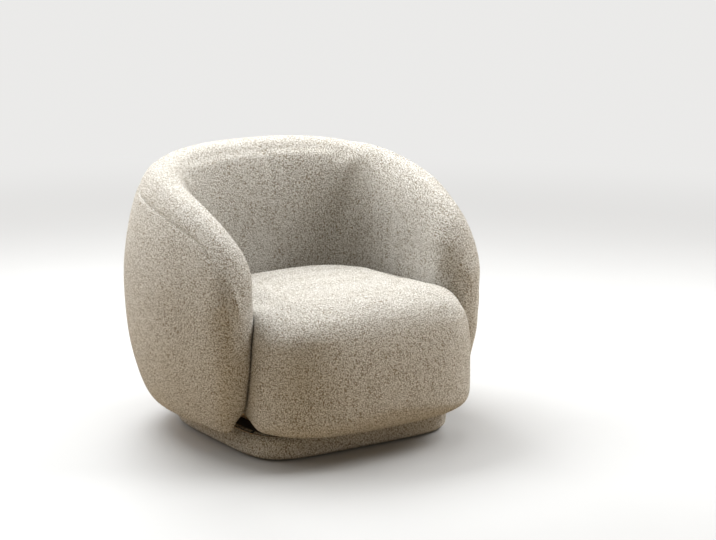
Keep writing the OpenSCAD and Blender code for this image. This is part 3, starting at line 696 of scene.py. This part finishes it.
def shapeShell(cage):
    # full, round noses on the arms, and arms padded on their inner sides
    spec = shellSpec
    relax(cage, spec["rounds"])
    tips = [(x, y + spec["noseBehind"]) for x, y in noseTips()]
    fronts = [upright(x, y, spec["noseHeights"]) for x, y in tips]
    for reach, rounds in spec["noseRounds"]:
        relax(cage, rounds, fronts, reach, 0)
    swell(cage, fronts, spec["noseReach"], spec["noseSwell"])
    inner = [upright(x * spec["innerIn"], y, spec["innerHeights"]) for x, y in tips]
    swell(cage, inner, spec["innerReach"], spec["innerSwell"])
    relax(cage, spec["afterRounds"], fronts, spec["afterReach"], 0)


def shapeSeat(cage):
    # the top of the seat is a little lower towards the back, and its front shoulder is full
    sink = seatSpec["sink"]
    for vert in cage.data.vertices:
        share = smoothShare(vert.co.z, *sink["heights"])
        vert.co.z -= share * (sink["all"] + sink["back"] * smoothShare(vert.co.y, *sink["depths"]))
    cage.data.update()
    relax(cage, seatSpec["rounds"])
    ends = [Vector(place) for place in seatSpec["shoulder"]]
    swell(cage, list(zip(ends, ends[1:])), seatSpec["shoulderReach"], seatSpec["shoulderSwell"])


def makeShellCovers(fabric):
    tree = treeOf([nodes[name] for name in seatSpec["panels"]])
    return makeCovers(shellSpec, tree, tree, shapeShell, fabric)


def makeSeatCovers(fabric, shellPieces):
    tree = treeOf([nodes[name] for name in shellSpec["panels"]])
    return makeCovers(seatSpec, tree, treeOf(shellPieces), shapeSeat, fabric)


plinthSpec = {"wallTilt": 0.3, "uprightOver": 0.01, "cuts": 4, "crown": 0.007, "near": 0.001, "turnIn": 0.024,
              "turns": 2, "turnRise": 0.0006, "edge": 0.012, "edgeSegments": 3, "levels": 2, "cloth": 0.0018,
              "seamAt": (-0.262, -0.2), "seamDepth": 0.0014, "seamWidth": 0.003, "seamReach": 0.012,
              "fill": 0.9}


def crownWalls(bm, low, high, middle):
    # the cover's walls bulge between its top and its bottom
    bmesh.ops.subdivide_edges(
        bm, edges=[e for e in bm.edges if abs(e.verts[0].co.z - e.verts[1].co.z) > plinthSpec["uprightOver"]],
        cuts=plinthSpec["cuts"], use_grid_fill=True)
    half = (high.z - low.z) / 2
    for vert in bm.verts:
        share = (vert.co.z - low.z - half) / half
        outward = (Vector((vert.co.x, vert.co.y, 0)) - middle).normalized()
        vert.co += outward * plinthSpec["crown"] * (1 - share * share)


def turnEdgesIn(bm, edges, middle, rise):
    for step in range(plinthSpec["turns"]):
        added, edges = extruded(bm, edges)
        for vert in added:
            inward = (middle - Vector((vert.co.x, vert.co.y, 0))).normalized()
            vert.co += inward * plinthSpec["turnIn"] / plinthSpec["turns"]
            vert.co.z += rise


def pressPlinthSeam(piece, middle):
    # a faint upright seam near the front left corner
    spec = plinthSpec
    seam = Vector((*spec["seamAt"], 0)) - middle
    side = Vector((-seam.y, seam.x, 0)).normalized()
    bm = meshOf(piece)
    for vert in bm.verts:
        away = (vert.co - middle).dot(side)
        if (vert.co - middle).dot(seam) > 0 and abs(away) < spec["seamReach"]:
            vert.co -= vert.normal * spec["seamDepth"] * math.exp(-(away / spec["seamWidth"]) ** 2)
    writeBack(bm, piece)


def makePlinthCover(fabric):
    spec = plinthSpec
    bm = nodeMesh("plinth_cover")
    low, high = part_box("plinth_cover")
    middle = Vector((0, (low.y + high.y) / 2, 0))
    dropFaces(bm, [f for f in bm.faces if not (
        abs(f.normal.z) < spec["wallTilt"] and f.normal.dot(f.calc_center_median() - middle) > 0)])
    joinTriangles(bm, meshSpec["flatBend"])
    crownWalls(bm, low, high, middle)
    rims = [e for e in bm.edges if e.is_boundary]
    top = [e for e in rims if e.verts[0].co.z > high.z - spec["near"]]
    bottom = [e for e in rims if e.verts[0].co.z < low.z + spec["near"]]
    turnEdgesIn(bm, top, middle, spec["turnRise"])
    turnEdgesIn(bm, bottom, middle, -spec["turnRise"])
    fixNormals(bm)
    roundRims(bm, spec["edge"], spec["edgeSegments"])
    putInOrder(bm)
    piece = objectFrom(bm, "plinthCover")
    subdivided(piece, spec["levels"])
    pressPlinthSeam(piece, middle)
    cloth = piece.modifiers.new("cloth", "SOLIDIFY")
    cloth.thickness = spec["cloth"]
    cloth.offset = -1
    smoothFaces(piece)
    finishPiece(piece, fabric, ["plinth_cover"])


plinthPadSpec = {"below": 0.008, "edge": 0.0012, "edgeSegments": 2, "shrink": 0.0003, "levels": 1,
                 "fill": 1.0}


def makePlinthPad(foam):
    # padding round the plinth, which stays below the rounded edges of the cover
    spec = plinthPadSpec
    bm = nodeMesh("plinth_padding")
    low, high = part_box("plinth_padding")
    for vert in bm.verts:
        vert.co.z = min(max(vert.co.z, low.z + spec["below"]), high.z - spec["below"])
    joinTriangles(bm, meshSpec["flatBend"])
    roundRims(bm, spec["edge"], spec["edgeSegments"])
    bm.normal_update()
    for vert in bm.verts:
        vert.co -= vert.normal * spec["shrink"]
    piece = objectFrom(bm, "plinthPad")
    subdivided(piece, spec["levels"])
    smoothFaces(piece)
    finishPiece(piece, foam, ["plinth_padding"])


padSpec = {
    "clear": 0.0035, "shrink": 0.0008, "rounds": 3, "reach": 0.02, "facing": 0.3, "fill": 1.0,
    "pads": [  # name, node and size of the grid that it is rebuilt in
        ("foamLeft", "shell_foam_left", 0.007), ("foamBack", "shell_foam_back", 0.008),
        ("foamRight", "shell_foam_right", 0.007), ("foamCore", "seat_foam_core", 0.009),
        ("foamTopper", "seat_foam_topper", 0.008), ("foamEdge", "seat_edge_foam", 0.006)]}


def makePads(foam, covers):
    # blocks of foam with softened edges, a little inside the covers that they fill
    tree = treeOf(covers)
    for name, node, size in padSpec["pads"]:
        block = objectFrom(nodeMesh(node), "block")
        remesh = block.modifiers.new("remesh", "REMESH")
        remesh.mode = "VOXEL"
        remesh.voxel_size = size
        bm = shown(block)
        bpy.data.objects.remove(block)
        for step in range(padSpec["rounds"]):
            smoothVerts(bm, bm.verts, meshSpec["half"])
            bm.normal_update()
            for vert in bm.verts:
                push = padSpec["shrink"] if step == 0 else 0.0
                near, normal, index, distance = tree.find_nearest(vert.co, padSpec["reach"])
                if near is not None and vert.normal.dot(normal) > padSpec["facing"]:
                    push = max(push, (vert.co - near).dot(normal) + padSpec["clear"])
                vert.co -= vert.normal * push
        piece = objectFrom(bm, name)
        smoothFaces(piece)
        finishPiece(piece, foam, [node])


def settle(bm, low, high, sag):
    # hangs a little between its fixed edges
    for vert in bm.verts:
        across = (2 * vert.co.x - low.x - high.x) / (high.x - low.x)
        along = (2 * vert.co.y - low.y - high.y) / (high.y - low.y)
        vert.co.z -= sag * max(0.0, 1 - across ** 2) * max(0.0, 1 - along ** 2)


def cutAt(bm, axis, at):
    # cuts all the faces that cross a plane square to an axis
    place, normal = Vector(), Vector()
    place[axis], normal[axis] = at, 1.0
    bmesh.ops.bisect_plane(bm, geom=bm.verts[:] + bm.edges[:] + bm.faces[:], plane_co=place, plane_no=normal)


def cutAcross(bm, low, high, pitch):
    # cuts a flat sheet into a grid that can bend
    for axis in (0, 1):
        count = int((high[axis] - low[axis]) / pitch)
        for number in range(1, count):
            cutAt(bm, axis, low[axis] + (high[axis] - low[axis]) * number / count)


underSpec = {
    "flat": 2, "edge": 0.0006, "edgeSegments": 2, "sag": 0.0022,
    "sheets": [  # name, node, finish, distance between the cuts, and fill
        ("strapsAcross", "webbing_cross", "webbing", 0.016, None),
        ("strapsAlong", "webbing_long", "webbing", 0.016, None),
        ("feltPad", "webbing_felt", "felt", 0.02, 0.9)]}


def makeUnderlay(finishes):
    # straps and felt, each a thin sheet with its edges rounded
    low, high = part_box("webbing_felt")
    for name, node, finish, pitch, fill in underSpec["sheets"]:
        bm = nodeMesh(node)
        flat = math.radians(underSpec["flat"])
        bmesh.ops.dissolve_limit(bm, angle_limit=flat, verts=bm.verts, edges=bm.edges)
        roundRims(bm, underSpec["edge"], underSpec["edgeSegments"])
        cutAcross(bm, low, high, pitch)
        settle(bm, low, high, underSpec["sag"])
        fixNormals(bm)
        putInOrder(bm)
        piece = objectFrom(bm, name)
        smoothFaces(piece)
        finishPiece(piece, finishes[finish], [node])


dustClothSpec = {"facingUp": 0.9, "pitch": 0.024, "sag": 0.0008}


def makeDustCloth(lining):
    # cloth stretched under the plinth
    bm = nodeMesh("dust_cloth")
    low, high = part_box("dust_cloth")
    area = sum(f.calc_area() for f in bm.faces if f.normal.z > dustClothSpec["facingUp"])
    cutAcross(bm, low, high, dustClothSpec["pitch"])
    settle(bm, low, high, dustClothSpec["sag"])
    fixNormals(bm)
    piece = objectFrom(bm, "dustCloth")
    finishPiece(piece, lining, ["dust_cloth"])


paintedShadeClothSpec = {"near": 0.001, "gap": 0.002, "lift": 0.0005, "thick": 0.0003}


def makePaintedShadeCloth(lining):
    # a black sheet over the plinth's board, round the seat platform, that darkens the notch between the arms
    # and the seat as painted shade
    spec = paintedShadeClothSpec
    bm = nodeMesh("plinth_board")
    low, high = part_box("plinth_board")
    dropFaces(bm, [f for f in bm.faces if f.calc_center_median().z < high.z - spec["near"]])
    holeLow, holeHigh = (corner.copy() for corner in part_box("seat_platform"))
    for corner, gap in ((holeLow, -spec["gap"]), (holeHigh, spec["gap"])):
        for axis in (0, 1):
            corner[axis] += gap
            cutAt(bm, axis, corner[axis])
    dropFaces(bm, [f for f in bm.faces if all(
        holeLow[axis] < f.calc_center_median()[axis] < holeHigh[axis] for axis in (0, 1))])
    area = sum(f.calc_area() for f in bm.faces)
    for vert in bm.verts:
        vert.co.z += spec["lift"]
    bmesh.ops.solidify(bm, geom=bm.faces[:], thickness=spec["thick"])
    fixNormals(bm)
    putInOrder(bm)
    piece = objectFrom(bm, "paintedShadeCloth")
    piece.data.materials.append(lining)
    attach(piece, "root")


# in the looks a noise is (scale, detail, roughness), a range (from, to, and the values there) and a bump
# (strength, depth)
boucleLook = {"fixed": {"Roughness": 0.95, "Sheen Weight": 0.2, "Sheen Roughness": 0.6,
                        "Sheen Tint": (1, 0.98, 0.94, 1), "Specular IOR Level": 0.15},
              # dark is painted shade between the loops and in the strands' dips, not the yarn's own colour
              "light": (0.95, 0.925, 0.87), "mid": (0.72, 0.66, 0.56), "dark": (0.21, 0.16, 0.09),
              "wander": (300, 2.0, 0.6), "wanderBy": 0.0015, "curl": 375, "even": 0.85, "nub": (0.2, 0.8),
              "fine": (700, 2.0, 0.6), "strand": (0.0, 0.14), "nubShare": 0.8, "shadeShare": 0.2,
              "strandPaintedShade": -0.2, "strandDip": -0.25, "pale": (0.0, 0.8), "patch": (9.0, 3.0),
              "worn": (0.3, 0.7, 0.0, 0.12), "bump": (1.0, 0.003)}


def makeBoucle():
    # loops of pale yarn; the dark colour is painted shade between the loops and in the strands' dips, and
    # each loop also has its own random tone
    look = boucleLook
    material, place, shader = startMaterial("boucle", look["fixed"])
    loose = place.moved(place.noise(*look["wander"], "Color"), look["wanderBy"])
    nub = 1.0 - loose.cells(look["curl"], randomness=look["even"]).between(*look["nub"])
    shade = loose.cells(look["curl"], "Color").red()
    strand = abs(loose.noise(*look["fine"]) - 0.5).between(*look["strand"])
    height = nub * look["nubShare"] + strand * look["strandDip"]
    # lighter on the loops and darker between them and along the strands' dips as painted shade; shade is each
    # loop's random tone
    pale = nub * look["nubShare"] + shade * look["shadeShare"] + strand * look["strandPaintedShade"]
    colour = pale.between(*look["pale"]).blend(look["dark"], look["light"])
    worn = place.noise(*look["patch"]).between(*look["worn"])
    feed(shader, "Base Color", worn.blend(colour, look["mid"]))
    feedBump(shader, height, *look["bump"])
    return material


foamLook = {"fixed": {"Roughness": 0.9, "Specular IOR Level": 0.2}, "deep": (0.90, 0.85, 0.62),
            "pale": (0.95, 0.92, 0.74), "pores": 900, "poreShade": 0.7, "poreRange": (0.1, 0.6),
            "patch": (14, 3.0), "patchRange": (0.3, 0.7), "bumpRange": (0.0, 0.7), "bump": (0.5, 0.0006)}


def makeFoam():
    look = foamLook
    material, place, shader = startMaterial("foam", look["fixed"])
    pores = place.cells(look["pores"])
    colour = place.noise(*look["patch"]).between(*look["patchRange"]).blend(look["deep"], look["pale"])
    # the pores are painted darker in their hollows as painted shade
    pored = pores.between(*look["poreRange"]).blend(shaded(look["deep"], look["poreShade"]), colour)
    feed(shader, "Base Color", pored)
    feedBump(shader, pores.between(*look["bumpRange"]), *look["bump"])
    return material


woodLook = {"fixed": {"Specular IOR Level": 0.35}, "early": (0.80, 0.64, 0.43), "late": (0.70, 0.52, 0.31),
            "pore": (0.50, 0.34, 0.19), "knot": (0.34, 0.20, 0.10),
            "grain": (1.2, 16.0), "fibre": (14.0, 700.0), "knots": (3.0, 9.0),  # along and across
            "wander": (1.0, 2.0, 0.5), "wanderBy": 0.6, "rings": (2.2, 2.0, 0.5), "bands": 6.0,
            "bandRange": (0.1, 0.9), "fine": (1.0, 2.0, 0.6), "poreRange": (0.45, 0.75, 0.0, 0.35),
            "knotRange": (0.05, 0.13, 1.0, 0.0), "rough": (0.3, 0.8, 0.55, 0.75),
            "poreHeight": 0.6, "bandHeight": 0.3, "bump": (0.25, 0.0006)}


def grained(axis, scales):
    along, across = scales
    return tuple(along if letter == axis else across for letter in "XYZ")


def makeWood(name, axis):
    # planed softwood with its grain along one axis
    look = woodLook
    material, place, shader = startMaterial(name, look["fixed"])
    grain = place.stretched(grained(axis, look["grain"]))
    rings = grain.moved(grain.noise(*look["wander"], "Color"), look["wanderBy"]).noise(*look["rings"])
    bands = rings.wave(look["bands"]).between(*look["bandRange"])
    pores = place.stretched(grained(axis, look["fibre"])).noise(*look["fine"])
    colour = bands.blend(look["late"], look["early"])
    colour = pores.between(*look["poreRange"]).blend(colour, look["pore"])
    knots = place.stretched(grained(axis, look["knots"])).cells(1.0)
    feed(shader, "Base Color", knots.between(*look["knotRange"]).blend(colour, look["knot"]))
    feed(shader, "Roughness", pores.between(*look["rough"]))
    feedBump(shader, pores * look["poreHeight"] + bands * look["bandHeight"], *look["bump"])
    return material


boardLook = {"fixed": {"Specular IOR Level": 0.3}, "light": (0.64, 0.49, 0.31), "dark": (0.52, 0.37, 0.21),
             "ply": (0.40, 0.27, 0.14), "pore": (0.42, 0.28, 0.15), "figure": (2.0, 14.0, 14.0),
             "wander": (1.0, 2.0, 0.5), "wanderBy": 0.9, "flame": (1.6, 2.0), "flames": 5.0,
             "flameRange": (0.1, 0.9), "plies": 380.0, "plyRange": (0.3, 0.7), "plyShare": 0.25,
             "fibre": (20.0, 500.0, 500.0), "fine": (1.0, 2.0, 0.6), "poreRange": (0.4, 0.7, 0.0, 0.3),
             "rough": (0.3, 0.8, 0.6, 0.8), "bump": (0.25, 0.0005)}


def makeBoard():
    # plywood: fine plies in the thickness, broad figure on the faces
    look = boardLook
    material, place, shader = startMaterial("board", look["fixed"])
    figure = place.stretched(look["figure"])
    flame = figure.moved(figure.noise(*look["wander"], "Color"), look["wanderBy"]).noise(*look["flame"])
    colour = flame.wave(look["flames"]).between(*look["flameRange"]).blend(look["dark"], look["light"])
    plies = place.along("Z").wave(look["plies"]).between(*look["plyRange"])
    colour = (plies * look["plyShare"]).blend(colour, look["ply"])
    fibre = place.stretched(look["fibre"]).noise(*look["fine"])
    feed(shader, "Base Color", fibre.between(*look["poreRange"]).blend(colour, look["pore"]))
    feed(shader, "Roughness", fibre.between(*look["rough"]))
    feedBump(shader, fibre, *look["bump"])
    return material


steelLook = {"fixed": {"Metallic": 1.0}, "dark": (0.52, 0.53, 0.55), "light": (0.68, 0.69, 0.71),
             "spangle": 420, "brush": (900, 900, 60), "fine": (1.0, 2.0, 0.6), "share": 0.5,
             "rough": (0.2, 0.8, 0.26, 0.46), "bump": (0.15, 0.0003)}


def makeSteel():
    # zinc-coated steel
    look = steelLook
    material, place, shader = startMaterial("zincSteel", look["fixed"])
    spangle = place.cells(look["spangle"], "Color").red()
    brushed = place.stretched(look["brush"]).noise(*look["fine"])
    rough = brushed * look["share"] + spangle * look["share"]
    feed(shader, "Base Color", spangle.blend(look["dark"], look["light"]))
    feed(shader, "Roughness", rough.between(*look["rough"]))
    feedBump(shader, brushed, *look["bump"])
    return material


glideLook = {"fixed": {"Specular IOR Level": 0.45}, "dark": (0.030, 0.030, 0.032),
             "light": (0.055, 0.054, 0.052), "grain": (1500, 2.0, 0.6), "scuff": (60, 3.0, 0.6),
             "scuffRange": (0.45, 0.75), "rough": (0, 1, 0.42, 0.62), "bump": (0.2, 0.0003)}


def makeGlidePlastic():
    look = glideLook
    material, place, shader = startMaterial("glidePlastic", look["fixed"])
    scuff = place.noise(*look["scuff"]).between(*look["scuffRange"])
    feed(shader, "Base Color", scuff.blend(look["dark"], look["light"]))
    feed(shader, "Roughness", scuff.between(*look["rough"]))
    feedBump(shader, place.noise(*look["grain"]), *look["bump"])
    return material


liningLook = {"fixed": {"Roughness": 0.85, "Specular IOR Level": 0.25}, "dark": (0.018, 0.018, 0.019),
              "light": (0.060, 0.060, 0.062), "fibre": (1.0, 0.35, 1.0), "fine": (1400, 3.0, 0.7),
              "fibreRange": (0.35, 0.7), "points": 420, "pointRange": (0.55, 0.85), "fibreHeight": 0.5,
              "pointDip": -0.6, "bump": (0.5, 0.0003)}


def makeLining():
    # spun black cloth with its pattern of pressed points
    look = liningLook
    material, place, shader = startMaterial("lining", look["fixed"])
    fibre = place.stretched(look["fibre"]).noise(*look["fine"])
    points = (place.along("X").wave(look["points"]) * place.along("Y").wave(look["points"])).between(
        *look["pointRange"])
    feed(shader, "Base Color", fibre.between(*look["fibreRange"]).blend(look["dark"], look["light"]))
    feedBump(shader, fibre * look["fibreHeight"] + points * look["pointDip"], *look["bump"])
    return material


webbingLook = {"fixed": {"Roughness": 0.8, "Specular IOR Level": 0.25}, "dark": (0.14, 0.12, 0.10),
               "light": (0.36, 0.33, 0.28), "stripe": (0.50, 0.34, 0.12), "threads": 560, "stripes": 62.5,
               "stripeRange": (0.5, 0.9), "stripeShare": 0.4, "weave": (0.2, 0.8), "bump": (0.6, 0.0005)}


def makeWebbing():
    # woven elastic strap
    look = webbingLook
    material, place, shader = startMaterial("webbing", look["fixed"])
    across, along = (place.along(axis).wave(look["threads"]) for axis in "XY")
    weave = across * along + (1 - across) * (1 - along)
    stripeX, stripeY = (place.along(axis).wave(look["stripes"]) for axis in "XY")
    stripe = (stripeX * stripeY).between(*look["stripeRange"]) * look["stripeShare"]
    colour = weave.between(*look["weave"]).blend(look["dark"], look["light"])
    feed(shader, "Base Color", stripe.blend(colour, look["stripe"]))
    feedBump(shader, weave, *look["bump"])
    return material


feltLook = {"fixed": {"Roughness": 0.95, "Sheen Weight": 0.2, "Specular IOR Level": 0.15},
            "dark": (0.36, 0.36, 0.35), "light": (0.66, 0.66, 0.63), "fleck": (0.28, 0.32, 0.40),
            "wander": (240, 2.0, 0.6), "wanderBy": 0.006, "fine": (900, 3.0, 0.7), "fibreRange": (0.3, 0.7),
            "flecks": 300, "fleckRange": (0.75, 1.0), "fleckShare": 0.6, "bump": (0.6, 0.0008)}


def makeFelt():
    look = feltLook
    material, place, shader = startMaterial("felt", look["fixed"])
    fibre = place.moved(place.noise(*look["wander"], "Color"), look["wanderBy"]).noise(*look["fine"])
    fleck = place.cells(look["flecks"], "Color").red().between(*look["fleckRange"]) * look["fleckShare"]
    colour = fibre.between(*look["fibreRange"]).blend(look["dark"], look["light"])
    feed(shader, "Base Color", fleck.blend(colour, look["fleck"]))
    feedBump(shader, fibre, *look["bump"])
    return material


hardNodes = {
    "board": ["plinth_board", "seat_platform", "inner_liner", "outer_liner"],
    "steel": ["frame_bolts", "bolt_washers", "threaded_inserts", "platform_screws", "glide_screws"],
    "glide": ["glides"],
    "woodX": ["plinth_rail_front", "plinth_rail_back", "frame_rail_front", "frame_rail_back", "bottom_rail",
              "spacer_front_left", "spacer_front_right", "spacer_rear_left", "spacer_rear_right"],
    "woodY": ["plinth_rail_left", "plinth_rail_right", "frame_rail_left", "frame_rail_right",
              "plinth_corner_front_left", "plinth_corner_front_right", "plinth_corner_back_left",
              "plinth_corner_back_right", "arm_rail_left", "arm_rail_right"],
    "woodZ": ["rib_back", "rib_rear_left", "rib_rear_right", "rib_side_left", "rib_side_right",
              "rib_front_left", "rib_front_right"]}


def dressHardNodes(finishes):
    for finish, names in hardNodes.items():
        for name in names:
            for slot in nodes[name].material_slots:
                slot.material = finishes[finish]


makeCamera()
makeFloor()
makeLights()
print("camera, floor and lights")
boucleFabric = makeBoucle()
foam = makeFoam()
finishes = {"board": makeBoard(), "steel": makeSteel(), "glide": makeGlidePlastic(), "lining": makeLining(),
            "webbing": makeWebbing(), "felt": makeFelt(), "woodX": makeWood("woodAcross", "X"),
            "woodY": makeWood("woodAlong", "Y"), "woodZ": makeWood("woodUpright", "Z")}
dressHardNodes(finishes)
print("finishes")
shellPieces = makeShellCovers(boucleFabric)
print("shell covers")
seatPieces = makeSeatCovers(boucleFabric, shellPieces)
print("seat covers")
makePlinthCover(boucleFabric)
makePlinthPad(foam)
print("plinth cover and padding")
makePads(foam, shellPieces + seatPieces)
makeUnderlay(finishes)
makeDustCloth(finishes["lining"])
makePaintedShadeCloth(finishes["lining"])
print("foam, straps, felt and dust cloth")
